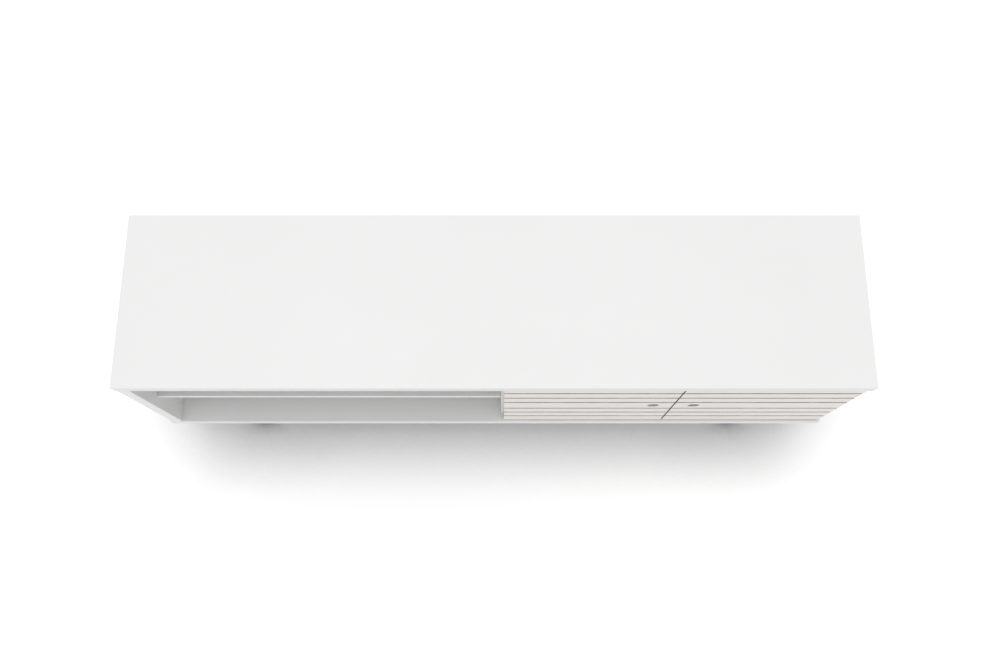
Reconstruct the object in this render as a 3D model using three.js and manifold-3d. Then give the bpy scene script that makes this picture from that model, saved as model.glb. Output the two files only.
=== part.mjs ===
// A long, low TV stand on four legs: an open bay with a shelf on the left, and a
// cupboard behind two slatted doors on the right.
// Millimetres. +X is right, +Y is back, +Z is up, and the doors face -Y.
// The origin is the middle of the footprint, on the floor.
import * as THREE from 'three';
import { mergeVertices } from 'three/addons/utils/BufferGeometryUtils.js';
import Module from 'manifold-3d';

const wasm = await Module();
wasm.setup();

// ---- Driving dimensions: the carcass ----

const WIDTH = 1600;
const DEPTH = 388;
const HEIGHT = 600;
const FLOOR_TO_CARCASS = 195;
const BOARD = 25; // top, bottom and side panels
const THIN_BOARD = 15; // divider, shelves and doors
const OVERHANG = 5; // the top and bottom run past the sides and the doors
const CORNER_RADIUS = 2.5;
const LEFT_SIDE_SETBACK = 1; // from the front of the top to the front of the left side
const DIVIDER_LEFT = 15; // left face of the divider
const MEDIA_SHELF_SETBACK = 25; // from the front of the top to the front of the shelf
const CUPBOARD_SHELF_SETBACK = 44;
const SHELF_CLEARANCE = 0.5;

// ---- Driving dimensions: the back ----

const BACK_THICKNESS = 3;
const BACK_RECESS = 3; // from the rear of the top to the back panels
const BACK_CLEARANCE = 0.3;
const CABLE_HOLE_RADIUS = 30;
const GROMMET_CLEARANCE = 0.4;
const GROMMET_LIP = 5;
const GROMMET_WALL = 2.5;

// ---- Driving dimensions: the doors ----

const DOOR_GAP = 3; // above, below and between the doors
const DOOR_BACK_GAP = 2; // between a door and the edges that it closes against
const DOOR_OVER_DIVIDER = 8.5;
const MIDDLE_SLAT_PITCH = 66; // between the two grooves beside the middle slat
const GROOVE_WIDTH = 7;
const GROOVE_DEPTH = 2;
const FINGER_HOLE_RADIUS = 13;
const FINGER_HOLE_FROM_SEAM = 46;

// ---- Driving dimensions: the hinges ----

const HINGE_FROM_DOOR_END = 62;
const CUP_FROM_EDGE = 22.5;
const CUP_RADIUS = 17.3;
const CUP_WALL = 1;
const CUP_DEPTH = 11.3;
const CUP_CLEARANCE = 0.4;
const FLANGE_THICKNESS = 1;
const LINK_HEIGHT = 8;
const PIN_RADIUS = 1.3;

// ---- Driving dimensions: legs and small parts ----

const LEG_X = 620;
const LEG_FROM_FRONT = 65;
const LEG_TOP_RADIUS = 20;
const LEG_FOOT_RADIUS = 13;
const LEG_PLATE_SIZE = 72;
const LEG_PLATE_THICKNESS = 3;
const STUD_RADIUS = 4;
const STUD_LENGTH = 16;
const STUD_CLEARANCE = 0.6;
const GLIDE_RADIUS = 11.5;
const GLIDE_THICKNESS = 4;
const PEG_HOLE_RADIUS = 2.8;
const PEG_RADIUS = 2.4;
const PEG_HOLE_DEPTH = 9;
const PEG_HOLE_STEP = 32;

// ---- Derived places ----

const FRONT = -DEPTH / 2;
const REAR = DEPTH / 2;
const BOTTOM_TOP = FLOOR_TO_CARCASS + BOARD;
const TOP_UNDERSIDE = HEIGHT - BOARD;
const DOOR_FRONT = FRONT + OVERHANG;
const DOOR_BACK = DOOR_FRONT + THIN_BOARD;
const FRAME_FRONT = DOOR_BACK + DOOR_BACK_GAP;
const BACK_PANEL_REAR = REAR - BACK_RECESS;
const BACK_PANEL_FRONT = BACK_PANEL_REAR - BACK_THICKNESS;
const SIDE_OUTER = WIDTH / 2 - OVERHANG;
const SIDE_INNER = SIDE_OUTER - BOARD;
const DIVIDER_RIGHT = DIVIDER_LEFT + THIN_BOARD;
const DIVIDER_MIDDLE = DIVIDER_LEFT + THIN_BOARD / 2;
const CARCASS_MIDDLE = (BOTTOM_TOP + TOP_UNDERSIDE) / 2;
const SHELF_UNDERSIDE = CARCASS_MIDDLE - THIN_BOARD / 2;
const SHELF_TOP = CARCASS_MIDDLE + THIN_BOARD / 2;
const DOOR_BOTTOM = BOTTOM_TOP + DOOR_GAP;
const DOOR_TOP = TOP_UNDERSIDE - DOOR_GAP;
const LEFT_DOOR_LEFT = DIVIDER_RIGHT - DOOR_OVER_DIVIDER;
const RIGHT_DOOR_RIGHT = SIDE_OUTER;
const SEAM = (LEFT_DOOR_LEFT + RIGHT_DOOR_RIGHT) / 2;
const LEFT_DOOR_RIGHT = SEAM - DOOR_GAP / 2;
const RIGHT_DOOR_LEFT = SEAM + DOOR_GAP / 2;

// ---- Materials ----

const FINISHES = {
  white_board: { color: 0xefefee, roughness: 0.5, metalness: 0 },
  white_slats: { color: 0xe6e4e0, roughness: 0.55, metalness: 0 },
  white_back: { color: 0xe9e8e5, roughness: 0.7, metalness: 0 },
  white_wood: { color: 0xeceae6, roughness: 0.5, metalness: 0 },
  nickel: { color: 0xb9bab8, roughness: 0.28, metalness: 1 },
  zinc: { color: 0x9da1a3, roughness: 0.4, metalness: 1 },
  white_plastic: { color: 0xe8e8e6, roughness: 0.45, metalness: 0 },
  grey_felt: { color: 0x8c8984, roughness: 0.95, metalness: 0 },
};

const stand = new THREE.Group();

function place(name, finish, geometry) {
  const mesh = new THREE.Mesh(geometry, new THREE.MeshStandardMaterial(FINISHES[finish]));
  mesh.name = name;
  stand.add(mesh);
}

// ---- Solids ----

function toSolid(geometry) {
  const bare = geometry.clone();
  bare.deleteAttribute('normal');
  bare.deleteAttribute('uv');
  const merged = mergeVertices(bare, 1e-4);
  return new wasm.Manifold(
    new wasm.Mesh({
      numProp: 3,
      vertProperties: merged.attributes.position.array,
      triVerts: new Uint32Array(merged.index.array),
    }),
  );
}

function toGeometry(solid) {
  const { vertProperties, triVerts } = solid.getMesh();
  const geometry = new THREE.BufferGeometry();
  geometry.setAttribute('position', new THREE.BufferAttribute(vertProperties, 3));
  geometry.setIndex(new THREE.BufferAttribute(triVerts, 1));
  return geometry;
}

function cut(geometry, tools) {
  let solid = toSolid(geometry);
  for (const tool of tools) {
    solid = solid.subtract(toSolid(tool));
  }
  return toGeometry(solid);
}

function join(geometries) {
  let solid = toSolid(geometries[0]);
  for (const geometry of geometries.slice(1)) {
    solid = solid.add(toSolid(geometry));
  }
  return toGeometry(solid);
}

// A box between two corners.
function block([x0, y0, z0], [x1, y1, z1]) {
  const box = new THREE.BoxGeometry(x1 - x0, y1 - y0, z1 - z0);
  return box.translate((x0 + x1) / 2, (y0 + y1) / 2, (z0 + z1) / 2);
}

// A solid of revolution about a vertical line. The profile runs upwards from [radius, height].
function turned(profile, x, y, segments) {
  const points = profile.map(([radius, height]) => new THREE.Vector2(radius, height));
  const lathe = new THREE.LatheGeometry(points, segments);
  return lathe.rotateX(Math.PI / 2).translate(x, y, 0);
}

// A round bar from one point to another along X, Y or Z.
function bar(radius, from, to, segments) {
  const start = new THREE.Vector3(...from);
  const end = new THREE.Vector3(...to);
  const along = end.clone().sub(start);
  const cylinder = new THREE.CylinderGeometry(radius, radius, along.length(), segments);
  const up = new THREE.Vector3(0, 1, 0);
  const turn = new THREE.Quaternion().setFromUnitVectors(up, along.normalize());
  cylinder.applyQuaternion(turn);
  return cylinder.translate(...start.add(end).multiplyScalar(0.5).toArray());
}

// A flat outline in plan, extruded upwards between two heights.
function slab(shape, z0, z1, curveSegments) {
  const settings = { depth: z1 - z0, bevelEnabled: false, curveSegments };
  return new THREE.ExtrudeGeometry(shape, settings).translate(0, 0, z0);
}

function roundedRectangle(x0, y0, x1, y1, radius) {
  const shape = new THREE.Shape();
  shape.moveTo(x0 + radius, y0);
  shape.lineTo(x1 - radius, y0);
  shape.absarc(x1 - radius, y0 + radius, radius, -Math.PI / 2, 0, false);
  shape.lineTo(x1, y1 - radius);
  shape.absarc(x1 - radius, y1 - radius, radius, 0, Math.PI / 2, false);
  shape.lineTo(x0 + radius, y1);
  shape.absarc(x0 + radius, y1 - radius, radius, Math.PI / 2, Math.PI, false);
  shape.lineTo(x0, y0 + radius);
  shape.absarc(x0 + radius, y0 + radius, radius, Math.PI, Math.PI * 1.5, false);
  return shape;
}

// ---- Hinges: where they are ----

// A hinge is drawn in plan, as [across, forward], from the front corner of the panel
// that carries it: across is positive over the panel's edge and negative inside the
// cupboard, and forward is positive out of the cupboard.
// fixedPin is the arm's pin, freeEnd is the link's end in the cup with the door shut,
// and the link bows through two control points, given as [along it, to its side].
const LEFT_HINGE = {
  panelFace: DIVIDER_RIGHT,
  outward: -1,
  doorEdge: LEFT_DOOR_LEFT,
  fixedPin: [-40, -1.5],
  freeEnd: [-1.2, 9.4],
  bow: [[18.1, -8.8], [32.8, 8.7]],
};
const RIGHT_HINGE = {
  panelFace: SIDE_INNER,
  outward: 1,
  doorEdge: RIGHT_DOOR_RIGHT,
  fixedPin: [-39.7, -3.3],
  freeEnd: [15, 9.3],
  bow: [[33.7, -10], [53.2, 6.4]],
};
const HINGE_HEIGHTS = {
  lower: DOOR_BOTTOM + HINGE_FROM_DOOR_END,
  upper: DOOR_TOP - HINGE_FROM_DOOR_END,
};

function inPlan(hinge, [across, forward]) {
  return [hinge.panelFace + hinge.outward * across, FRAME_FRONT - forward];
}

function cupCentre(hinge) {
  return hinge.doorEdge - hinge.outward * CUP_FROM_EDGE;
}

function planSlab(hinge, points, z0, z1) {
  const outline = points.map((point) => new THREE.Vector2(...inPlan(hinge, point)));
  return slab(new THREE.Shape(outline), z0, z1);
}

function uprightBar(hinge, point, radius, z0, z1, segments) {
  const [x, y] = inPlan(hinge, point);
  return bar(radius, [x, y, z0], [x, y, z1], segments);
}

// ---- Boards of the carcass ----

const LEGS = [
  { name: 'front_left', x: -LEG_X, y: FRONT + LEG_FROM_FRONT },
  { name: 'front_right', x: LEG_X, y: FRONT + LEG_FROM_FRONT },
  { name: 'rear_left', x: -LEG_X, y: REAR - LEG_FROM_FRONT },
  { name: 'rear_right', x: LEG_X, y: REAR - LEG_FROM_FRONT },
];
const STUD_HOLE_RADIUS = STUD_RADIUS + STUD_CLEARANCE;
const STUD_TOP = FLOOR_TO_CARCASS + STUD_LENGTH;

function footprintBoard(z0, z1) {
  const outline = roundedRectangle(-WIDTH / 2, FRONT, WIDTH / 2, REAR, CORNER_RADIUS);
  return slab(outline, z0, z1, 4);
}

function makeTopPanel() {
  place('top_panel', 'white_board', footprintBoard(TOP_UNDERSIDE, HEIGHT));
}

function makeBottomPanel() {
  const studHoles = LEGS.map(({ x, y }) => {
    const from = [x, y, FLOOR_TO_CARCASS - 1];
    const to = [x, y, STUD_TOP + 1];
    return bar(STUD_HOLE_RADIUS, from, to, 20);
  });
  const board = footprintBoard(FLOOR_TO_CARCASS, BOTTOM_TOP);
  place('bottom_panel', 'white_board', cut(board, studHoles));
}

// Two columns of holes for the shelf pegs in one face of an upright board.
const PEG_AXIS = SHELF_UNDERSIDE - PEG_HOLE_RADIUS;
const PEG_COLUMNS = {
  front: FRONT + CUPBOARD_SHELF_SETBACK + 22,
  rear: BACK_PANEL_FRONT - 45,
};
const PEG_STEPS = [-2, -1, 0, 1, 2];

function pegHoles(face, into) {
  const holes = [];
  for (const y of Object.values(PEG_COLUMNS)) {
    for (const step of PEG_STEPS) {
      const z = PEG_AXIS + step * PEG_HOLE_STEP;
      const mouth = [face - into, y, z];
      const end = [face + into * PEG_HOLE_DEPTH, y, z];
      holes.push(bar(PEG_HOLE_RADIUS, mouth, end, 12));
    }
  }
  return holes;
}

function makeUprights() {
  const left = block(
    [-SIDE_OUTER, FRONT + LEFT_SIDE_SETBACK, BOTTOM_TOP],
    [-SIDE_INNER, BACK_PANEL_FRONT, TOP_UNDERSIDE],
  );
  const right = block(
    [SIDE_INNER, FRAME_FRONT, BOTTOM_TOP],
    [SIDE_OUTER, BACK_PANEL_FRONT, TOP_UNDERSIDE],
  );
  const divider = block(
    [DIVIDER_LEFT, FRAME_FRONT, BOTTOM_TOP],
    [DIVIDER_RIGHT, BACK_PANEL_FRONT, TOP_UNDERSIDE],
  );
  place('left_side_panel', 'white_board', left);
  place('right_side_panel', 'white_board', cut(right, pegHoles(SIDE_INNER, 1)));
  place('divider_panel', 'white_board', cut(divider, pegHoles(DIVIDER_RIGHT, -1)));
}

function makeShelves() {
  const media = block(
    [-SIDE_INNER, FRONT + MEDIA_SHELF_SETBACK, SHELF_UNDERSIDE],
    [DIVIDER_LEFT, BACK_PANEL_FRONT, SHELF_TOP],
  );
  const cupboard = block(
    [DIVIDER_RIGHT + SHELF_CLEARANCE, FRONT + CUPBOARD_SHELF_SETBACK, SHELF_UNDERSIDE],
    [SIDE_INNER - SHELF_CLEARANCE, BACK_PANEL_FRONT - SHELF_CLEARANCE, SHELF_TOP],
  );
  place('media_shelf', 'white_board', media);
  place('cupboard_shelf', 'white_board', cupboard);
}

function makeShelfPegs() {
  const sides = [
    { name: 'left', face: DIVIDER_RIGHT, inward: 1 },
    { name: 'right', face: SIDE_INNER, inward: -1 },
  ];
  for (const { name, face, inward } of sides) {
    for (const [column, y] of Object.entries(PEG_COLUMNS)) {
      const shank = bar(PEG_RADIUS, [face - inward * 8, y, PEG_AXIS], [face + inward * 2, y, PEG_AXIS], 12);
      const near = face + inward * 0.2;
      const far = face + inward * 9;
      const tab = block(
        [Math.min(near, far), y - 4.5, PEG_AXIS - 4],
        [Math.max(near, far), y + 4.5, SHELF_UNDERSIDE],
      );
      place(`shelf_peg_${column}_${name}`, 'nickel', join([shank, tab]));
    }
  }
}

// ---- The back ----

const OPEN_BAY_MIDDLE = (DIVIDER_LEFT - SIDE_INNER) / 2;
const CUPBOARD_MIDDLE = (DIVIDER_RIGHT + SIDE_INNER) / 2;
const CABLE_HOLE_HEIGHTS = {
  lower: (BOTTOM_TOP + SHELF_UNDERSIDE) / 2,
  upper: (SHELF_TOP + TOP_UNDERSIDE) / 2,
};
const BACK_HALVES = [
  {
    name: 'left',
    x0: -SIDE_OUTER + BACK_CLEARANCE,
    x1: DIVIDER_MIDDLE - BACK_CLEARANCE / 2,
    hole: OPEN_BAY_MIDDLE,
  },
  {
    name: 'right',
    x0: DIVIDER_MIDDLE + BACK_CLEARANCE / 2,
    x1: SIDE_OUTER - BACK_CLEARANCE,
    hole: CUPBOARD_MIDDLE,
  },
];

function makeGrommet(name, x, z) {
  const front = BACK_PANEL_FRONT - 1.6;
  const rear = BACK_PANEL_REAR + 1.6;
  const outer = CABLE_HOLE_RADIUS - GROMMET_CLEARANCE;
  const tube = bar(outer, [x, front, z], [x, rear, z], 48);
  const lip = bar(CABLE_HOLE_RADIUS + GROMMET_LIP, [x, front, z], [x, BACK_PANEL_FRONT, z], 48);
  const bore = bar(outer - GROMMET_WALL, [x, front - 1, z], [x, rear + 1, z], 48);
  place(name, 'white_plastic', cut(join([tube, lip]), [bore]));
}

function makeBack() {
  for (const { name, x0, x1, hole } of BACK_HALVES) {
    const board = block(
      [x0, BACK_PANEL_FRONT, BOTTOM_TOP + BACK_CLEARANCE],
      [x1, BACK_PANEL_REAR, TOP_UNDERSIDE - BACK_CLEARANCE],
    );
    const holes = Object.values(CABLE_HOLE_HEIGHTS).map((z) => {
      const from = [hole, BACK_PANEL_FRONT - 1, z];
      const to = [hole, BACK_PANEL_REAR + 1, z];
      return bar(CABLE_HOLE_RADIUS, from, to, 48);
    });
    place(`back_panel_${name}`, 'white_back', cut(board, holes));
    for (const [level, z] of Object.entries(CABLE_HOLE_HEIGHTS)) {
      makeGrommet(`cable_grommet_${name}_${level}`, hole, z);
    }
  }
}

// ---- Legs ----

function makeLeg({ name, x, y }) {
  const plateBottom = FLOOR_TO_CARCASS - LEG_PLATE_THICKNESS;
  const leg = turned(
    [
      [0, GLIDE_THICKNESS],
      [LEG_FOOT_RADIUS - 1.5, GLIDE_THICKNESS],
      [LEG_FOOT_RADIUS, GLIDE_THICKNESS + 1.5],
      [LEG_TOP_RADIUS, plateBottom],
      [STUD_RADIUS, plateBottom],
      [STUD_RADIUS, STUD_TOP],
      [0, STUD_TOP],
    ],
    x,
    y,
    32,
  );
  place(`leg_${name}`, 'white_wood', leg);

  const half = LEG_PLATE_SIZE / 2;
  const outline = roundedRectangle(x - half, y - half, x + half, y + half, 8);
  const plate = slab(outline, plateBottom, FLOOR_TO_CARCASS, 4);
  const screwOffset = half - 9;
  const screwHeads = [-1, 1].flatMap((i) =>
    [-1, 1].map((j) => {
      const head = [x + i * screwOffset, y + j * screwOffset];
      return bar(3.8, [...head, plateBottom - 1.8], [...head, plateBottom + 1], 12);
    }),
  );
  const studHole = bar(
    STUD_HOLE_RADIUS,
    [x, y, plateBottom - 1],
    [x, y, FLOOR_TO_CARCASS + 1],
    20,
  );
  place(`leg_plate_${name}`, 'zinc', cut(join([plate, ...screwHeads]), [studHole]));

  const glide = turned(
    [
      [0, 0],
      [GLIDE_RADIUS - 1, 0],
      [GLIDE_RADIUS, 1],
      [GLIDE_RADIUS, GLIDE_THICKNESS],
      [0, GLIDE_THICKNESS],
    ],
    x,
    y,
    24,
  );
  place(`glide_${name}`, 'grey_felt', glide);
}

// ---- Doors ----

const SLAT_PITCH = (DOOR_TOP - DOOR_BOTTOM - MIDDLE_SLAT_PITCH) / 6;
const GROOVE_HEIGHTS = [1, 2, 3].flatMap((count) => [
  DOOR_BOTTOM + count * SLAT_PITCH,
  DOOR_TOP - count * SLAT_PITCH,
]);

function makeDoor(name, x0, x1, hinge, fingerHoleX) {
  const board = block([x0, DOOR_FRONT, DOOR_BOTTOM], [x1, DOOR_BACK, DOOR_TOP]);
  const grooves = GROOVE_HEIGHTS.map((z) =>
    block(
      [x0 - 1, DOOR_FRONT - 1, z - GROOVE_WIDTH / 2],
      [x1 + 1, DOOR_FRONT + GROOVE_DEPTH, z + GROOVE_WIDTH / 2],
    ),
  );
  const fingerHole = bar(
    FINGER_HOLE_RADIUS,
    [fingerHoleX, DOOR_FRONT - 1, CARCASS_MIDDLE],
    [fingerHoleX, DOOR_BACK + 1, CARCASS_MIDDLE],
    32,
  );
  const x = cupCentre(hinge);
  const cupHoles = Object.values(HINGE_HEIGHTS).map((z) =>
    bar(
      CUP_RADIUS + CUP_CLEARANCE,
      [x, DOOR_BACK - CUP_DEPTH - CUP_CLEARANCE, z],
      [x, DOOR_BACK + 1, z],
      36,
    ),
  );
  place(name, 'white_slats', cut(board, [...grooves, fingerHole, ...cupHoles]));
}

function makeCatch() {
  const magnet = block(
    [SEAM - 30, DOOR_BACK + 1.3, TOP_UNDERSIDE - 16],
    [SEAM + 30, DOOR_BACK + 24, TOP_UNDERSIDE],
  );
  place('magnetic_catch', 'white_plastic', magnet);
  const plates = { left: LEFT_DOOR_RIGHT - 16, right: RIGHT_DOOR_LEFT + 16 };
  for (const [name, x] of Object.entries(plates)) {
    const plate = block(
      [x - 10, DOOR_BACK, DOOR_TOP - 15],
      [x + 10, DOOR_BACK + 1, DOOR_TOP - 3],
    );
    place(`strike_plate_${name}`, 'zinc', plate);
  }
}

// ---- Hinges ----

// The cup is pressed into the door, and its flange lies on the door's back.
function makeCup(name, hinge, z) {
  const x = cupCentre(hinge);
  const flangeBack = DOOR_BACK + FLANGE_THICKNESS;
  const shell = bar(CUP_RADIUS, [x, DOOR_BACK - CUP_DEPTH, z], [x, DOOR_BACK, z], 36);
  const rim = bar(CUP_RADIUS + 2.2, [x, DOOR_BACK, z], [x, flangeBack, z], 36);
  const ears = block([x - 7, DOOR_BACK, z - 27], [x + 7, flangeBack, z + 27]);
  const bore = bar(
    CUP_RADIUS - CUP_WALL,
    [x, DOOR_BACK - CUP_DEPTH + CUP_WALL, z],
    [x, flangeBack + 1, z],
    36,
  );
  place(name, 'nickel', cut(join([shell, rim, ears]), [bore]));
}

// The plate screws to the panel, and its rib carries the arm.
function makeHingePlate(name, hinge, z) {
  const base = planSlab(hinge, [[-2, -62], [0, -62], [0, -46], [-2, -46]], z - 24, z + 24);
  const ribHalf = LINK_HEIGHT / 2;
  const rib = planSlab(hinge, [[-13, -66], [0, -66], [0, -28], [-13, -28]], z - ribHalf, z + ribHalf);
  const heads = [-17, 17].map((dz) => {
    const [x0, y] = inPlan(hinge, [-3.5, -54]);
    const [x1] = inPlan(hinge, [-1, -54]);
    return bar(4, [x0, y, z + dz], [x1, y, z + dz], 16);
  });
  place(name, 'nickel', join([base, rib, ...heads]));
}

// The arm is a bent channel that reaches forward from the plate's rib to a pin.
function makeArm(name, hinge, z) {
  const [across, forward] = hinge.fixedPin;
  const nose = 2.6;
  const inner = LINK_HEIGHT / 2 + 0.3;
  const outer = inner + 1.4;
  const profile = [
    [-8, -66],
    [-16, -66],
    [across - nose, -24],
    [across - nose, forward],
    [across + nose, forward],
    [across + 8, -16],
    [-10, -38],
    [-8, -44],
  ];
  const channel = [
    [5, -70],
    [-14, -70],
    [-14.6, -66],
    [across - nose + 1.4, -24.5],
    [across - nose + 1.4, -10],
    [across - nose - 1, -10],
    [across - nose - 1, 5],
    [5, 5],
  ];
  const body = planSlab(hinge, profile, z - outer, z + outer);
  const nosePiece = uprightBar(hinge, hinge.fixedPin, nose, z - outer, z + outer, 20);
  const hollow = planSlab(hinge, channel, z - inner, z + inner);
  const hollowed = cut(join([body, nosePiece]), [hollow]);
  const pin = uprightBar(hinge, hinge.fixedPin, PIN_RADIUS, z - outer, z + outer, 20);
  place(name, 'nickel', join([hollowed, pin]));
}

// The link turns on the arm's pin and its free end lies inside the cup.
function makeLink(name, hinge, z) {
  const start = new THREE.Vector2(...hinge.fixedPin);
  const end = new THREE.Vector2(...hinge.freeEnd);
  const along = end.clone().sub(start).normalize();
  const side = new THREE.Vector2(-along.y, along.x);
  const controls = hinge.bow.map(([run, rise]) =>
    start.clone().addScaledVector(along, run).addScaledVector(side, rise),
  );
  const centre = new THREE.CubicBezierCurve(start, controls[0], controls[1], end);
  const steps = 14;
  const edge = (offset) =>
    Array.from({ length: steps + 1 }, (_, i) => {
      const at = centre.getPoint(i / steps);
      const tangent = centre.getTangent(i / steps);
      return [at.x - tangent.y * offset, at.y + tangent.x * offset];
    });
  const half = LINK_HEIGHT / 2;
  const ribbon = planSlab(hinge, [...edge(-0.95), ...edge(0.95).reverse()], z - half, z + half);
  const eye = uprightBar(hinge, hinge.fixedPin, 2.6, z - half, z + half, 20);
  const tip = uprightBar(hinge, hinge.freeEnd, 1.7, z - half, z + half, 16);
  const pinHole = uprightBar(
    hinge,
    hinge.fixedPin,
    PIN_RADIUS + 0.1,
    z - half - 1,
    z + half + 1,
    20,
  );
  place(name, 'nickel', cut(join([ribbon, eye, tip]), [pinHole]));
}

function makeHinges() {
  for (const [side, hinge] of Object.entries({ left: LEFT_HINGE, right: RIGHT_HINGE })) {
    for (const [level, z] of Object.entries(HINGE_HEIGHTS)) {
      const name = `${side}_door_${level}_hinge`;
      makeCup(`${name}_cup`, hinge, z);
      makeHingePlate(`${name}_plate`, hinge, z);
      makeArm(`${name}_arm`, hinge, z);
      makeLink(`${name}_link`, hinge, z);
    }
  }
}

// ---- Assembly ----

makeTopPanel();
makeBottomPanel();
makeUprights();
makeShelves();
makeShelfPegs();
makeBack();
LEGS.forEach(makeLeg);
makeDoor('left_door', LEFT_DOOR_LEFT, LEFT_DOOR_RIGHT, LEFT_HINGE, SEAM - FINGER_HOLE_FROM_SEAM);
makeDoor('right_door', RIGHT_DOOR_LEFT, RIGHT_DOOR_RIGHT, RIGHT_HINGE, SEAM + FINGER_HOLE_FROM_SEAM);
makeCatch();
makeHinges();

export default stand;
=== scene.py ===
"""A long white TV stand: an open bay on the left and a slatted two-door cupboard on the right."""

import math

import bmesh
import bpy
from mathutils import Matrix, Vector


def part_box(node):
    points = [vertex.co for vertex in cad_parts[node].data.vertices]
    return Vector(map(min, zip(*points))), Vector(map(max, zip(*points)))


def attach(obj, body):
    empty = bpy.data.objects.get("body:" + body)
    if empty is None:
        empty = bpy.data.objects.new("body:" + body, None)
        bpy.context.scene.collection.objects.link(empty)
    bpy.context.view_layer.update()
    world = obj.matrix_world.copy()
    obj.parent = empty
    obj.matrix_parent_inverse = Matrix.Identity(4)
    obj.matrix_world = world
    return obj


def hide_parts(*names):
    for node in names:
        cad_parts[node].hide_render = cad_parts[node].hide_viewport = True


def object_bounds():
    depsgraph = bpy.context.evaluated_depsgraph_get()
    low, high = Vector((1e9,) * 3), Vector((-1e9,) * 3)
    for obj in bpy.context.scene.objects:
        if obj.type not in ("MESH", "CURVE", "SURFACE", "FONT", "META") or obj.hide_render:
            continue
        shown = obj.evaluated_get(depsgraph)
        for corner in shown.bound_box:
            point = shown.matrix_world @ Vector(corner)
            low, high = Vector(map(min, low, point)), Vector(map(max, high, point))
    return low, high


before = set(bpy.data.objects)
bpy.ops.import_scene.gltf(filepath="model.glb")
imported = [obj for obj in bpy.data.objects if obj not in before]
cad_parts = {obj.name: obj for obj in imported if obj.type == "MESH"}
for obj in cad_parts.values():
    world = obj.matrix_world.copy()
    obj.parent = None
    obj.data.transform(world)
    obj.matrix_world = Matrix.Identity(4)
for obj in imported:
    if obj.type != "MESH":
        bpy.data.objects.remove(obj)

MM = 0.001
cad_low, cad_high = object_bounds()

# ---- Places taken from the frame ----

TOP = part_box("top_panel")
LEFT_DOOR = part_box("left_door")
RIGHT_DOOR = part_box("right_door")
FLOOR_Z = cad_low.z


def centre(node):
    low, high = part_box(node)
    return (low + high) / 2


# ---- Camera, floor and light ----

CAMERA_ABOVE_TOP = 1.9486
CAMERA_BEFORE_FRONT = 0.4261
CAMERA_RIGHT_OF_MIDDLE = 0.01255
CAMERA_TILT_FROM_VERTICAL = math.radians(15.628)
CAMERA_CLIP = (0.05, 200)
LENS = 34.465
SENSOR_WIDTH = 36

DOME_STRENGTH = 0.93
SOFTBOX_STRENGTH = 0.25
SOFTBOX_HALF_ANGLE = math.radians(17)
SOFTBOX_HEIGHT = 10
FLOOR_SIZE = 60


def make_camera():
    data = bpy.data.cameras.new("camera")
    data.lens = LENS
    data.sensor_width = SENSOR_WIDTH
    data.clip_start, data.clip_end = CAMERA_CLIP
    camera = bpy.data.objects.new("camera", data)
    bpy.context.scene.collection.objects.link(camera)
    camera.location = (
        CAMERA_RIGHT_OF_MIDDLE,
        TOP[0].y - CAMERA_BEFORE_FRONT,
        TOP[1].z + CAMERA_ABOVE_TOP,
    )
    camera.rotation_euler = (CAMERA_TILT_FROM_VERTICAL, 0, 0)
    bpy.context.scene.camera = camera


def make_light():
    """An even white dome and a wide softbox overhead. Each strength is the light on the floor."""
    world = bpy.data.worlds.new("studio")
    world.use_nodes = True
    background = world.node_tree.nodes["Background"]
    background.inputs["Color"].default_value = (1, 1, 1, 1)
    background.inputs["Strength"].default_value = DOME_STRENGTH
    bpy.context.scene.world = world

    data = bpy.data.lights.new("overhead_softbox", "AREA")
    data.shape = "DISK"
    data.size = 2 * SOFTBOX_HEIGHT * math.tan(SOFTBOX_HALF_ANGLE)
    area = math.pi * (data.size / 2) ** 2
    data.energy = SOFTBOX_STRENGTH * math.pi * area / math.sin(SOFTBOX_HALF_ANGLE) ** 2
    light = bpy.data.objects.new("overhead_softbox", data)
    light.location = (0, 0, FLOOR_Z + SOFTBOX_HEIGHT)
    light.visible_camera = False
    bpy.context.scene.collection.objects.link(light)


def make_floor():
    mesh = bpy.data.meshes.new("studio_floor")
    half = FLOOR_SIZE / 2
    corners = [(-half, -half), (half, -half), (half, half), (-half, half)]
    mesh.from_pydata([(x, y, FLOOR_Z) for x, y in corners], [], [(0, 1, 2, 3)])
    floor = bpy.data.objects.new("studio_floor", mesh)
    bpy.context.scene.collection.objects.link(floor)
    mesh.materials.append(pale_floor("pale_floor"))


# ---- Material building blocks ----

MIX_FIRST, MIX_SECOND = 6, 7  # the colour sockets of a Mix node


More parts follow.
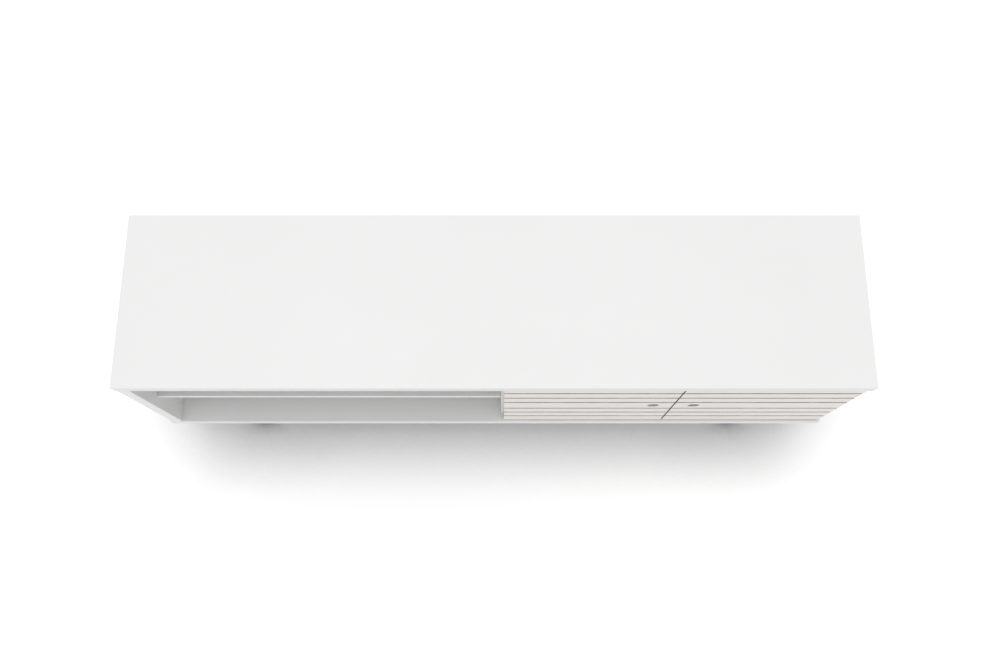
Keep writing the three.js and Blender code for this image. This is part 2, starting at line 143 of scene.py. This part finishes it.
class Recipe:
    """One node material: a Principled shader and the textures that feed it."""

    def __init__(self, name):
        self.material = bpy.data.materials.new(name)
        self.material.use_nodes = True
        self.tree = self.material.node_tree
        self.shader = self.tree.nodes["Principled BSDF"]
        self.place = self.tree.nodes.new("ShaderNodeTexCoord").outputs["Object"]
        self.height = None

    def set(self, **values):
        for key, value in values.items():
            self.shader.inputs[key.replace("_", " ")].default_value = value

    def link(self, source, target):
        self.tree.links.new(source, target)

    def feed(self, socket, value):
        """Gives a socket a number, a colour or another node's output."""
        if isinstance(value, bpy.types.NodeSocket):
            self.link(value, socket)
        elif isinstance(value, tuple):
            socket.default_value = (*value, 1)
        else:
            socket.default_value = value

    def stretched(self, scale):
        mapping = self.tree.nodes.new("ShaderNodeMapping")
        mapping.inputs["Scale"].default_value = scale
        self.link(self.place, mapping.inputs["Vector"])
        return mapping.outputs["Vector"]

    def noise(self, scale, detail=3.0, roughness=0.5, stretch=None, distortion=0.0):
        node = self.tree.nodes.new("ShaderNodeTexNoise")
        node.inputs["Scale"].default_value = scale
        node.inputs["Detail"].default_value = detail
        node.inputs["Roughness"].default_value = roughness
        node.inputs["Distortion"].default_value = distortion
        source = self.stretched(stretch) if stretch else self.place
        self.link(source, node.inputs["Vector"])
        return node.outputs["Fac"]

    def ramp(self, factor, stops):
        """Colours along a factor. A stop is (place, colour)."""
        node = self.tree.nodes.new("ShaderNodeValToRGB")
        elements = node.color_ramp.elements
        while len(elements) < len(stops):
            elements.new(0.5)
        for element, (at, colour) in zip(elements, stops):
            element.position = at
            element.color = (*colour, 1)
        self.link(factor, node.inputs["Fac"])
        return node.outputs["Color"]

    def remap(self, factor, low, high, from_low=0.3, from_high=0.7):
        """Low where the factor is from_low, high where it is from_high, and clamped outside."""
        node = self.tree.nodes.new("ShaderNodeMapRange")
        node.inputs["From Min"].default_value = from_low
        node.inputs["From Max"].default_value = from_high
        node.inputs["To Min"].default_value = low
        node.inputs["To Max"].default_value = high
        self.link(factor, node.inputs["Value"])
        return node.outputs["Result"]

    def mix(self, factor, first, second, blend="MIX"):
        """The first colour, with the second laid over it as strongly as the factor says."""
        node = self.tree.nodes.new("ShaderNodeMix")
        node.data_type = "RGBA"
        node.blend_type = blend
        self.feed(node.inputs["Factor"], factor)
        self.feed(node.inputs[MIX_FIRST], first)
        self.feed(node.inputs[MIX_SECOND], second)
        return node.outputs[2]

    def times(self, first, second):
        node = self.tree.nodes.new("ShaderNodeMath")
        node.operation = "MULTIPLY"
        self.link(first, node.inputs[0])
        self.link(second, node.inputs[1])
        return node.outputs[0]

    def edges(self, radius):
        """1 where the surface turns a corner within the radius, and 0 on the flat."""
        bevel = self.tree.nodes.new("ShaderNodeBevel")
        bevel.samples = 4
        bevel.inputs["Radius"].default_value = radius
        geometry = self.tree.nodes.new("ShaderNodeNewGeometry")
        dot = self.tree.nodes.new("ShaderNodeVectorMath")
        dot.operation = "DOT_PRODUCT"
        self.link(bevel.outputs["Normal"], dot.inputs[0])
        self.link(geometry.outputs["Normal"], dot.inputs[1])
        return self.remap(dot.outputs["Value"], 1.0, 0.0, 0.75, 1.0)

    def openness(self, reach):
        """1 where nothing stands near the surface, and less under and beside things."""
        node = self.tree.nodes.new("ShaderNodeAmbientOcclusion")
        node.samples = 16
        node.inputs["Distance"].default_value = reach
        return node.outputs["AO"]

    def bump(self, height, distance, strength):
        """Adds a layer of relief, in metres, over the layers before it."""
        node = self.tree.nodes.new("ShaderNodeBump")
        node.inputs["Strength"].default_value = strength
        node.inputs["Distance"].default_value = distance
        self.link(height, node.inputs["Height"])
        if self.height is not None:
            self.link(self.height, node.inputs["Normal"])
        self.height = node.outputs["Normal"]
        self.link(self.height, self.shader.inputs["Normal"])

    def colour(self, source):
        self.link(source, self.shader.inputs["Base Color"])

    def roughness(self, source):
        self.link(source, self.shader.inputs["Roughness"])


def grey(value):
    return (value, value, value)


# The floor's own white, and the painted shade and painted foot shadow laid into its colour from
# ambient occlusion
OPEN_FLOOR = grey(0.97)
PAINTED_CARCASS_SHADE = grey(0.565)
PAINTED_FOOT_SHADOW = grey(0.16)
CARCASS_SHADE_REACH = 0.26
FOOT_SHADOW_REACH = 0.07


def pale_floor(name):
    """Matt white, with shade painted into its colour: greyer under the carcass and darker close
    round each foot.
    """
    recipe = Recipe(name)
    recipe.set(Specular_IOR_Level=0.0, Roughness=1.0)
    # Painted shade: the floor colour greys where the carcass stands over it
    carcass_shade_stops = [(0.72, PAINTED_CARCASS_SHADE), (0.985, OPEN_FLOOR)]
    under = recipe.ramp(recipe.openness(CARCASS_SHADE_REACH), carcass_shade_stops)
    # foot holds the strength of the shadow painted close round each foot
    foot = recipe.remap(recipe.openness(FOOT_SHADOW_REACH), 1.0, 0.0, 0.8, 0.95)
    recipe.colour(recipe.mix(foot, under, PAINTED_FOOT_SHADOW))
    return recipe.material


def lacquered_board(name, light, dark, worn):
    """Satin white lacquer: fine orange peel, cloudy tint, and edges rubbed a little duller."""
    recipe = Recipe(name)
    recipe.set(Specular_IOR_Level=0.35)
    cloud = recipe.noise(2.4, detail=4)
    tint = recipe.ramp(cloud, [(0.3, dark), (0.7, light)])
    scuffs = recipe.noise(60, detail=5, roughness=0.7)
    rubbed = recipe.times(recipe.edges(1.6 * MM), recipe.remap(scuffs, 0.1, 0.9, 0.35, 0.65))
    recipe.colour(recipe.mix(rubbed, tint, worn))
    recipe.roughness(recipe.remap(recipe.noise(14, detail=6, roughness=0.65), 0.38, 0.52))
    recipe.bump(recipe.noise(520, detail=2), 0.02 * MM, 0.5)
    recipe.bump(recipe.noise(30, detail=2), 0.05 * MM, 0.25)
    return recipe.material


def slat_face(name):
    """White lacquer over soft wood, whose long grain still shows as a faint relief and tint."""
    recipe = Recipe(name)
    recipe.set(Specular_IOR_Level=0.3)
    grain = recipe.noise(16, detail=7, roughness=0.62, stretch=(1.6, 8, 22), distortion=0.4)
    pores = recipe.noise(70, detail=4, roughness=0.7, stretch=(1.2, 10, 26))
    dark, middle, light = (0.682, 0.65, 0.617), (0.732, 0.706, 0.682), (0.757, 0.736, 0.72)
    tint = recipe.ramp(grain, [(0.28, dark), (0.5, middle), (0.72, light)])
    pore_tint = recipe.ramp(pores, [(0.3, (0.72, 0.69, 0.65)), (0.4, grey(1))])
    lacquer = recipe.mix(0.35, tint, pore_tint, "MULTIPLY")
    rubbed = recipe.times(recipe.edges(1.2 * MM), recipe.remap(grain, 0.1, 0.8))
    recipe.colour(recipe.mix(rubbed, lacquer, (0.66, 0.62, 0.56)))
    recipe.roughness(recipe.remap(pores, 0.62, 0.45))
    recipe.bump(grain, 0.12 * MM, 0.6)
    recipe.bump(pores, 0.06 * MM, 0.5)
    return recipe.material


WHITEWASH_TINT = (0.6, 0.57, 0.53)


def bare_wood(name, dark, middle, light, whitewash):
    """Brown-grey wood with dark streaks, under patches of whitewash up to the strength given."""
    recipe = Recipe(name)
    recipe.set(Specular_IOR_Level=0.15, Roughness=0.8)
    streak = recipe.noise(20, detail=6, roughness=0.7, stretch=(1.5, 12, 30), distortion=0.6)
    patch = recipe.noise(26, detail=3, roughness=0.6, stretch=(1, 2, 3))
    wood = recipe.ramp(streak, [(0.3, dark), (0.52, middle), (0.7, light)])
    wash = recipe.remap(patch, 0.0, whitewash, 0.42, 0.66)
    recipe.colour(recipe.mix(wash, wood, WHITEWASH_TINT))
    recipe.bump(streak, 0.2 * MM, 0.8)
    return recipe.material


def faced_hardboard(name):
    """Thin matt board, whose pressed fibres show through its white face."""
    recipe = Recipe(name)
    recipe.set(Specular_IOR_Level=0.2)
    fibres = recipe.noise(140, detail=6, roughness=0.75, stretch=(1, 1, 1.6))
    cloud = recipe.noise(6, detail=4)
    tint = recipe.ramp(cloud, [(0.3, (0.75, 0.745, 0.73)), (0.7, (0.8, 0.795, 0.785))])
    recipe.colour(recipe.mix(recipe.remap(fibres, 0.0, 0.35), tint, (0.68, 0.67, 0.65)))
    recipe.roughness(recipe.remap(fibres, 0.6, 0.78))
    recipe.bump(fibres, 0.06 * MM, 0.7)
    return recipe.material


def painted_wood(name):
    """Brushed white paint on turned wood, with the grain running down the leg."""
    recipe = Recipe(name)
    recipe.set(Specular_IOR_Level=0.35)
    grain = recipe.noise(40, detail=6, roughness=0.6, stretch=(7, 7, 0.5), distortion=0.5)
    tint = recipe.ramp(grain, [(0.3, (0.76, 0.75, 0.73)), (0.7, (0.83, 0.825, 0.815))])
    scuffs = recipe.noise(90, detail=5, roughness=0.75)
    rubbed = recipe.times(recipe.edges(1.5 * MM), recipe.remap(scuffs, 0.0, 0.9))
    recipe.colour(recipe.mix(rubbed, tint, (0.6, 0.56, 0.5)))
    recipe.roughness(recipe.remap(grain, 0.52, 0.38))
    recipe.bump(grain, 0.09 * MM, 0.6)
    return recipe.material


def plated_steel(name, light, dark, roughness, cloud_scale):
    """Plated sheet steel: fine rolling lines, cloudy plating and rubbed bright edges."""
    recipe = Recipe(name)
    recipe.set(Metallic=1.0)
    cloud = recipe.noise(cloud_scale, detail=3, roughness=0.6)
    lines = recipe.noise(300, detail=4, roughness=0.6, stretch=(1, 1, 14))
    tint = recipe.ramp(cloud, [(0.32, dark), (0.68, light)])
    recipe.colour(recipe.mix(recipe.edges(0.5 * MM), tint, grey(0.86)))
    recipe.roughness(recipe.remap(lines, roughness, roughness + 0.16))
    recipe.bump(lines, 0.01 * MM, 0.5)
    return recipe.material


def moulded_plastic(name, light, dark):
    """Plastic with the fine even grain of its mould."""
    recipe = Recipe(name)
    recipe.set(Specular_IOR_Level=0.45)
    cloud = recipe.noise(9, detail=3)
    recipe.colour(recipe.ramp(cloud, [(0.3, dark), (0.7, light)]))
    recipe.roughness(recipe.remap(recipe.noise(45, detail=4), 0.36, 0.5))
    recipe.bump(recipe.noise(1500, detail=2), 0.02 * MM, 0.6)
    return recipe.material


def pressed_felt(name):
    """Short matted fibres, lighter and darker grey."""
    recipe = Recipe(name)
    recipe.set(Roughness=0.95, Specular_IOR_Level=0.1, Sheen_Weight=0.4)
    fibres = recipe.noise(900, detail=6, roughness=0.8, distortion=1.2)
    recipe.colour(recipe.ramp(fibres, [(0.3, (0.16, 0.155, 0.15)), (0.7, (0.36, 0.35, 0.335))]))
    recipe.bump(fibres, 0.25 * MM, 0.9)
    return recipe.material


BOARD_WHITE = lacquered_board(
    "board_white",
    light=(0.72, 0.72, 0.718),
    dark=(0.705, 0.705, 0.702),
    worn=(0.64, 0.635, 0.62),
)
SLAT_WHITE = slat_face("slat_white")
# Brown wood in the grooves, its colour taken darker than the wood alone so that it also paints the
# shade in the grooves
GROOVE_WOOD_AND_SHADE = bare_wood(
    "groove_wood_and_painted_shade",
    dark=(0.075, 0.059, 0.046),
    middle=(0.15, 0.123, 0.1),
    light=(0.25, 0.215, 0.18),
    whitewash=0.5,
)
# Very dark bare wood on the meeting, top and bottom edges of the doors: wood, and painted shade for
# the seam and the gaps round the doors
EDGE_WOOD_AND_GAP_SHADE = bare_wood(
    "edge_wood_and_painted_gap_shade",
    dark=(0.06, 0.047, 0.037),
    middle=(0.12, 0.097, 0.078),
    light=(0.2, 0.168, 0.138),
    whitewash=0.04,
)
HOLE_WOOD = bare_wood(
    "finger_hole_wood",
    dark=(0.38, 0.36, 0.335),
    middle=(0.515, 0.5, 0.477),
    light=(0.64, 0.63, 0.61),
    whitewash=0.4,
)
BACK_WHITE = faced_hardboard("back_white")
LEG_WHITE = painted_wood("leg_white")
NICKEL = plated_steel(
    "nickel_plate",
    light=(0.76, 0.755, 0.74),
    dark=(0.68, 0.675, 0.66),
    roughness=0.2,
    cloud_scale=40,
)
ZINC = plated_steel(
    "zinc_plate",
    light=(0.64, 0.66, 0.68),
    dark=(0.5, 0.515, 0.53),
    roughness=0.32,
    cloud_scale=220,
)
PLASTIC_WHITE = moulded_plastic(
    "plastic_white",
    light=(0.81, 0.81, 0.8),
    dark=(0.785, 0.785, 0.775),
)
FELT_GREY = pressed_felt("felt_grey")


# ---- Mesh building blocks ----


def finish_piece(name, bm, materials, body, node):
    """Makes the object from the mesh under construction. A node of None replaces nothing."""
    mesh = bpy.data.meshes.new(name)
    bmesh.ops.recalc_face_normals(bm, faces=bm.faces)
    bm.to_mesh(mesh)
    bm.free()
    for material in materials:
        mesh.materials.append(material)
    piece = bpy.data.objects.new(name, mesh)
    bpy.context.scene.collection.objects.link(piece)
    if node:
        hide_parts(node)
    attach(piece, body)
    return piece


def soften(piece, radius, segments=3, angle=35):
    """Rounds edges that turn by more than the angle, and shades the flats between them flat."""
    bevel = piece.modifiers.new("edge_radius", "BEVEL")
    bevel.width = radius
    bevel.segments = segments
    bevel.limit_method = "ANGLE"
    bevel.angle_limit = math.radians(angle)
    bevel.use_clamp_overlap = True
    piece.data.shade_smooth()
    normals = piece.modifiers.new("flat_faces", "WEIGHTED_NORMAL")
    normals.keep_sharp = False
    normals.weight = 100


def box_mesh(low, high):
    bm = bmesh.new()
    bmesh.ops.create_cube(bm, size=1)
    size = high - low
    for vertex in bm.verts:
        vertex.co = low + Vector((vertex.co[i] + 0.5) * size[i] for i in range(3))
    return bm


def drill(piece, holes, segments):
    """Cuts round holes, each (start, end, radius), through or into the piece."""
    bm = bmesh.new()
    for start, end, radius in holes:
        add_bar(bm, start, end, radius, segments)
    mesh = bpy.data.meshes.new("drill")
    bm.to_mesh(mesh)
    bm.free()
    cutter = bpy.data.objects.new("drill", mesh)
    bpy.context.scene.collection.objects.link(cutter)
    modifier = piece.modifiers.new("holes", "BOOLEAN")
    modifier.operation = "DIFFERENCE"
    modifier.solver = "EXACT"
    modifier.object = cutter
    bpy.context.view_layer.update()
    graph = bpy.context.evaluated_depsgraph_get()
    drilled = bpy.data.meshes.new_from_object(piece.evaluated_get(graph))
    piece.modifiers.remove(modifier)
    drilled.name = piece.name
    piece.data = drilled
    bpy.data.objects.remove(cutter)


def add_ring(bm, middle, turn, radius, along, segments):
    """A ring of points round a turned Z axis, or one point where the radius is 0."""
    ring = []
    for i in range(segments if radius else 1):
        angle = 2 * math.pi * i / segments
        at = Vector((math.cos(angle) * radius, math.sin(angle) * radius, along))
        ring.append(bm.verts.new(middle + turn @ at))
    return ring


def add_bar(bm, start, end, radius, segments):
    """A closed round bar from start to end."""
    start, end = Vector(start), Vector(end)
    turn = (end - start).to_track_quat("Z", "Y")
    near = add_ring(bm, start, turn, radius, 0, segments)
    far = add_ring(bm, end, turn, radius, 0, segments)
    for i in range(segments):
        j = (i + 1) % segments
        bm.faces.new((near[i], near[j], far[j], far[i]))
    bm.faces.new(list(reversed(near)))
    bm.faces.new(far)


def add_spun(bm, profile, middle, axis, segments):
    """A closed turned shape. A profile point is (radius, place along the axis)."""
    turn = Vector(axis).to_track_quat("Z", "Y")
    rings = [add_ring(bm, middle, turn, radius, along, segments) for radius, along in profile]
    pairs = list(zip(rings, rings[1:]))
    starts_on_axis = profile[0][0] == 0
    if not starts_on_axis:
        pairs.append((rings[-1], rings[0]))
    for first, second in pairs:
        for i in range(segments):
            j = (i + 1) % segments
            corners = [first[i % len(first)], first[j % len(first)]]
            corners += [second[j % len(second)], second[i % len(second)]]
            bm.faces.new(list(dict.fromkeys(corners)))


def spun_mesh(profile, middle, axis, segments):
    bm = bmesh.new()
    add_spun(bm, profile, middle, axis, segments)
    return bm


def arc(out, along, radius, start, end, steps):
    """Profile points on an arc about the point (out, along), with the angles in degrees."""
    points = []
    for i in range(steps + 1):
        angle = math.radians(start + (end - start) * i / steps)
        points.append((out + radius * math.cos(angle), along + radius * math.sin(angle)))
    return points


# ---- Boards ----

BOARD_EDGE = 1.0 * MM
THIN_EDGE = 0.7 * MM
PANEL_CORNER = 2.5 * MM
CLOSE = 0.1 * MM  # points nearer than this count as being in line


def round_upright_edges(bm, radius):
    upright = []
    for edge in bm.edges:
        first, second = (vertex.co for vertex in edge.verts)
        if (first.xy - second.xy).length < CLOSE:
            upright.append(edge)
    bmesh.ops.bevel(bm, geom=upright, offset=radius, segments=6, profile=0.5, affect="EDGES")


def make_footprint_board(node):
    """The top or the bottom, whose corners are rounded as seen from above."""
    bm = box_mesh(*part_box(node))
    round_upright_edges(bm, PANEL_CORNER)
    piece = finish_piece(f"{node}_board", bm, [BOARD_WHITE], "carcass", node)
    soften(piece, BOARD_EDGE, angle=50)


PEG_HOLE_RADIUS = 2.8 * MM
PEG_HOLE_DEPTH = 9 * MM
PEG_HOLE_STEP = 32 * MM
PEG_HOLE_STEPS = (-2, -1, 0, 1, 2)
PEG_AXIS_BELOW_SHELF = 2.8 * MM


def peg_holes(face_x, into):
    """Two columns of blind holes in the face at face_x. They run to +X or -X, as into is 1 or -1."""
    holes = []
    peg_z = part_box("cupboard_shelf")[0].z - PEG_AXIS_BELOW_SHELF
    for column in ("front", "rear"):
        y = centre(f"shelf_peg_{column}_left").y
        for step in PEG_HOLE_STEPS:
            z = peg_z + step * PEG_HOLE_STEP
            mouth = (face_x - into * MM, y, z)
            bottom = (face_x + into * PEG_HOLE_DEPTH, y, z)
            holes.append((mouth, bottom, PEG_HOLE_RADIUS))
    return holes


def make_inner_board(node, edge_radius, holes=()):
    bm = box_mesh(*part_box(node))
    piece = finish_piece(f"{node}_board", bm, [BOARD_WHITE], "carcass", node)
    if holes:
        drill(piece, holes, 24)
    soften(piece, edge_radius)


def make_boards():
    make_footprint_board("top_panel")
    make_footprint_board("bottom_panel")
    make_inner_board("left_side_panel", BOARD_EDGE)
    right_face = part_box("right_side_panel")[0].x
    make_inner_board("right_side_panel", BOARD_EDGE, peg_holes(right_face, 1))
    divider_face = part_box("divider_panel")[1].x
    make_inner_board("divider_panel", THIN_EDGE, peg_holes(divider_face, -1))
    make_inner_board("media_shelf", THIN_EDGE)
    make_inner_board("cupboard_shelf", THIN_EDGE)


# ---- The back ----

CABLE_HOLE_RADIUS = 30 * MM
BACK_EDGE = 0.3 * MM


def make_back():
    for side in ("left", "right"):
        node = f"back_panel_{side}"
        low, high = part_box(node)
        bm = box_mesh(low, high)
        piece = finish_piece(f"{node}_board", bm, [BACK_WHITE], "carcass", node)
        holes = []
        for level in ("lower", "upper"):
            middle = centre(f"cable_grommet_{side}_{level}")
            start = (middle.x, low.y - MM, middle.z)
            end = (middle.x, high.y + MM, middle.z)
            holes.append((start, end, CABLE_HOLE_RADIUS))
            make_grommet(f"cable_grommet_{side}_{level}")
        drill(piece, holes, 96)
        soften(piece, BACK_EDGE, 2)
        make_back_pins(side)


PIN_HEAD_RADIUS = 1.7 * MM
PIN_HEAD_HEIGHT = 0.4 * MM
PIN_FROM_OUTER_EDGE = 12 * MM
PIN_FROM_DIVIDER_EDGE = 3.5 * MM
PIN_FROM_CORNER = 14 * MM
PIN_STEP = 66 * MM
SHELF_PIN_STEP = 150 * MM


def evenly(low, high, step):
    """Places from low to high, at about the step."""
    count = max(1, round((high - low) / step))
    return [low + (high - low) * i / count for i in range(count + 1)]


def make_back_pins(side):
    """The heads of the panel pins that hold a back panel to the uprights and the fixed shelf."""
    low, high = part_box(f"back_panel_{side}")
    insets = (PIN_FROM_OUTER_EDGE, PIN_FROM_DIVIDER_EDGE)
    left_inset, right_inset = insets if side == "left" else reversed(insets)
    left_column, right_column = low.x + left_inset, high.x - right_inset
    heights = evenly(low.z + PIN_FROM_CORNER, high.z - PIN_FROM_CORNER, PIN_STEP)
    places = [(x, z) for x in (left_column, right_column) for z in heights]
    if side == "left":
        inset = SHELF_PIN_STEP / 2
        along_shelf = evenly(left_column + inset, right_column - inset, SHELF_PIN_STEP)
        places += [(x, centre("media_shelf").z) for x in along_shelf]
    profile = [(0, 0), (PIN_HEAD_RADIUS, 0), (PIN_HEAD_RADIUS * 0.9, PIN_HEAD_HEIGHT * 0.7)]
    profile += [(PIN_HEAD_RADIUS * 0.5, PIN_HEAD_HEIGHT * 0.97), (0, PIN_HEAD_HEIGHT)]
    bm = bmesh.new()
    for x, z in places:
        add_spun(bm, profile, Vector((x, high.y, z)), (0, 1, 0), 16)
    piece = finish_piece(f"back_panel_{side}_pins", bm, [ZINC], "carcass", None)
    piece.data.shade_smooth()


GROMMET_GAP = 0.4 * MM
GROMMET_WALL = 2.5 * MM
SLEEVE_RADIUS = CABLE_HOLE_RADIUS - GROMMET_GAP
BORE_RADIUS = SLEEVE_RADIUS - GROMMET_WALL
LIP_DEPTH = 1.6 * MM
LIP_ROUND = 0.8 * MM
SLEEVE_ROUND = 0.5 * MM
MOUTH_ROUND = 1.2 * MM
GROMMET_EDGE = 0.15 * MM


def make_grommet(node):
    """A plastic ring, with a flared lip inside the carcass and a sleeve through the board."""
    low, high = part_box(node)
    middle = Vector(((low.x + high.x) / 2, low.y, (low.z + high.z) / 2))
    sleeve_end = high.y - low.y - SLEEVE_ROUND
    lip = (high.x - low.x) / 2
    profile = arc(lip - LIP_ROUND, LIP_ROUND, LIP_ROUND, -90, 0, 5)
    profile += [(lip, LIP_DEPTH), (SLEEVE_RADIUS, LIP_DEPTH)]
    profile += arc(SLEEVE_RADIUS - SLEEVE_ROUND, sleeve_end, SLEEVE_ROUND, 0, 90, 4)
    profile += arc(BORE_RADIUS + SLEEVE_ROUND, sleeve_end, SLEEVE_ROUND, 90, 180, 4)
    profile += arc(BORE_RADIUS + MOUTH_ROUND, MOUTH_ROUND, MOUTH_ROUND, 180, 270, 6)
    bm = spun_mesh(profile, middle, (0, 1, 0), 96)
    piece = finish_piece(f"{node}_ring", bm, [PLASTIC_WHITE], "carcass", node)
    soften(piece, GROMMET_EDGE, 2, 60)


# ---- Legs ----

FOOT_RADIUS = 13 * MM
FOOT_ROUND = 2 * MM
SHOULDER_ROUND = 1.5 * MM
STUD_RADIUS = 4 * MM
LEG_PLATE_THICKNESS = 3 * MM
TAPER_ANGLE = -4  # degrees, of the normal of the leg's side below the horizontal
LEG_EDGE = 0.3 * MM
PAD_ROUND = 1 * MM
PAD_TOP_ROUND = 0.4 * MM


def make_leg(name):
    """A tapered round leg, whose stud goes up through its plate."""
    node = f"leg_{name}"
    low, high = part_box(node)
    middle = Vector((*centre(node).xy, 0))
    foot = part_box(f"glide_{name}")[1].z
    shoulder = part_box(f"leg_plate_{name}")[1].z - LEG_PLATE_THICKNESS
    top_radius = (high.x - low.x) / 2
    profile = [(0, foot)]
    profile += arc(FOOT_RADIUS - FOOT_ROUND, foot + FOOT_ROUND, FOOT_ROUND, -90, TAPER_ANGLE, 6)
    profile += arc(
        top_radius - SHOULDER_ROUND, shoulder - SHOULDER_ROUND, SHOULDER_ROUND, TAPER_ANGLE, 90, 6
    )
    profile += [(STUD_RADIUS, shoulder), (STUD_RADIUS, high.z), (0, high.z)]
    bm = spun_mesh(profile, middle, (0, 0, 1), 72)
    piece = finish_piece(f"{node}_turned", bm, [LEG_WHITE], "carcass", node)
    soften(piece, LEG_EDGE, 2, 60)


def make_glide(name):
    """The felt pad under a leg."""
    node = f"glide_{name}"
    low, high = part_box(node)
    middle = Vector((*centre(node).xy, 0))
    radius = (high.x - low.x) / 2
    profile = [(0, low.z)]
    profile += arc(radius - PAD_ROUND, low.z + PAD_ROUND, PAD_ROUND, -90, 0, 5)
    profile += arc(radius - PAD_TOP_ROUND, high.z - PAD_TOP_ROUND, PAD_TOP_ROUND, 0, 90, 3)
    profile += [(0, high.z)]
    bm = spun_mesh(profile, middle, (0, 0, 1), 48)
    piece = finish_piece(f"{node}_pad", bm, [FELT_GREY], "carcass", node)
    piece.data.shade_smooth()


# ---- Doors ----

GROOVE_WIDTH = 7 * MM
GROOVE_DEPTH = 2 * MM
MIDDLE_SLAT_PITCH = 66 * MM
FINGER_HOLE_RADIUS = 13 * MM
FINGER_HOLE_FROM_SEAM = 46 * MM
CUP_HOLE_RADIUS = 17.7 * MM
CUP_HOLE_DEPTH = 11.7 * MM
DOOR_EDGE = 0.35 * MM
SEAM_X = (LEFT_DOOR[1].x + RIGHT_DOOR[0].x) / 2
SLAT_PITCH = (LEFT_DOOR[1].z - LEFT_DOOR[0].z - MIDDLE_SLAT_PITCH) / 6


def groove_heights():
    """Three grooves up from the bottom, then three under the top, with the wide slat between."""
    low, high = LEFT_DOOR[0].z, LEFT_DOOR[1].z
    below = [low + count * SLAT_PITCH for count in (1, 2, 3)]
    above = [high - count * SLAT_PITCH for count in (3, 2, 1)]
    return below + above


def door_mesh(low, high):
    """The door's section, with its grooves, drawn in Y and Z and extruded along X."""
    half = GROOVE_WIDTH / 2
    groove_y = low.y + GROOVE_DEPTH
    outline = [(high.y, high.z), (high.y, low.z), (low.y, low.z)]
    for z in groove_heights():
        outline += [(low.y, z - half), (groove_y, z - half)]
        outline += [(groove_y, z + half), (low.y, z + half)]
    outline.append((low.y, high.z))
    bm = bmesh.new()
    left_end = [bm.verts.new((low.x, y, z)) for y, z in outline]
    right_end = [bm.verts.new((high.x, y, z)) for y, z in outline]
    for i in range(len(outline)):
        j = (i + 1) % len(outline)
        bm.faces.new((left_end[i], left_end[j], right_end[j], right_end[i]))
    bm.faces.new(left_end)
    bm.faces.new(right_end)
    return bm


LACQUER, GROOVE, EDGE, HOLE = range(4)
SQUARE_ON = 0.9  # a face whose normal has this much of an axis looks along it


def door_finish(face, low, high, hinged_x, finger_hole):
    """Lacquer on the front, the back and the hinged edge. Cuts and other edges are wood, darkened
    further to paint the shade in the grooves and in the gaps round the doors.
    """
    at = face.center
    on_front = face.normal.y < -SQUARE_ON and at.y < low.y + CLOSE
    on_back = face.normal.y > SQUARE_ON and at.y > high.y - CLOSE
    looks_sideways = abs(face.normal.x) > SQUARE_ON
    on_hinged_edge = looks_sideways and abs(at.x - hinged_x) < CLOSE
    if on_front or on_back or on_hinged_edge:
        return LACQUER
    if math.hypot(at.x - finger_hole.x, at.z - finger_hole.z) < FINGER_HOLE_RADIUS:
        return HOLE
    in_groove = at.y < low.y + GROOVE_DEPTH + CLOSE
    on_end = looks_sideways or min(at.z - low.z, high.z - at.z) < CLOSE
    return GROOVE if in_groove and not on_end else EDGE


def make_door(side, finger_hole_x):
    """A slatted door, with a finger hole through it and two cup holes in its back."""
    node = f"{side}_door"
    low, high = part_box(node)
    bm = door_mesh(low, high)
    materials = [SLAT_WHITE, GROOVE_WOOD_AND_SHADE, EDGE_WOOD_AND_GAP_SHADE, HOLE_WOOD]
    piece = finish_piece(f"{node}_slatted", bm, materials, node, node)
    finger_hole = Vector((finger_hole_x, 0, (low.z + high.z) / 2))
    start = (finger_hole.x, low.y - MM, finger_hole.z)
    end = (finger_hole.x, high.y + MM, finger_hole.z)
    drill(piece, [(start, end, FINGER_HOLE_RADIUS)], 64)
    cups = []
    for level in ("lower", "upper"):
        cup = centre(f"{node}_{level}_hinge_cup")
        start = (cup.x, high.y - CUP_HOLE_DEPTH, cup.z)
        cups.append((start, (cup.x, high.y + MM, cup.z), CUP_HOLE_RADIUS))
    drill(piece, cups, 64)
    hinged_x = low.x if side == "left" else high.x
    for face in piece.data.polygons:
        face.material_index = door_finish(face, low, high, hinged_x, finger_hole)
    soften(piece, DOOR_EDGE)


# ---- Metal parts and the catch, which keep their CAD shapes ----

HINGE_EDGE = 0.25 * MM
PLATE_EDGE = 0.3 * MM
CATCH_EDGE = 0.8 * MM
WELD_REACH = 0.002 * MM


def dress(node, material, edge_radius):
    """Gives a CAD node its finish and small edge radii."""
    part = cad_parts[node]
    part.data.materials.clear()
    part.data.materials.append(material)
    weld = part.modifiers.new("joined_corners", "WELD")
    weld.merge_threshold = WELD_REACH
    soften(part, edge_radius, 2, 32)


def dress_cad_parts():
    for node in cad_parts:
        if "_hinge_" in node or "shelf_peg" in node:
            dress(node, NICKEL, HINGE_EDGE)
        elif "leg_plate" in node or "strike_plate" in node:
            dress(node, ZINC, PLATE_EDGE)
    dress("magnetic_catch", PLASTIC_WHITE, CATCH_EDGE)


# ---- Assembly ----

make_camera()
make_light()
make_floor()
make_boards()
make_back()
for leg_name in ("front_left", "front_right", "rear_left", "rear_right"):
    make_leg(leg_name)
    make_glide(leg_name)
make_door("left", SEAM_X - FINGER_HOLE_FROM_SEAM)
make_door("right", SEAM_X + FINGER_HOLE_FROM_SEAM)
dress_cad_parts()
bpy.context.scene.view_settings.view_transform = "Standard"
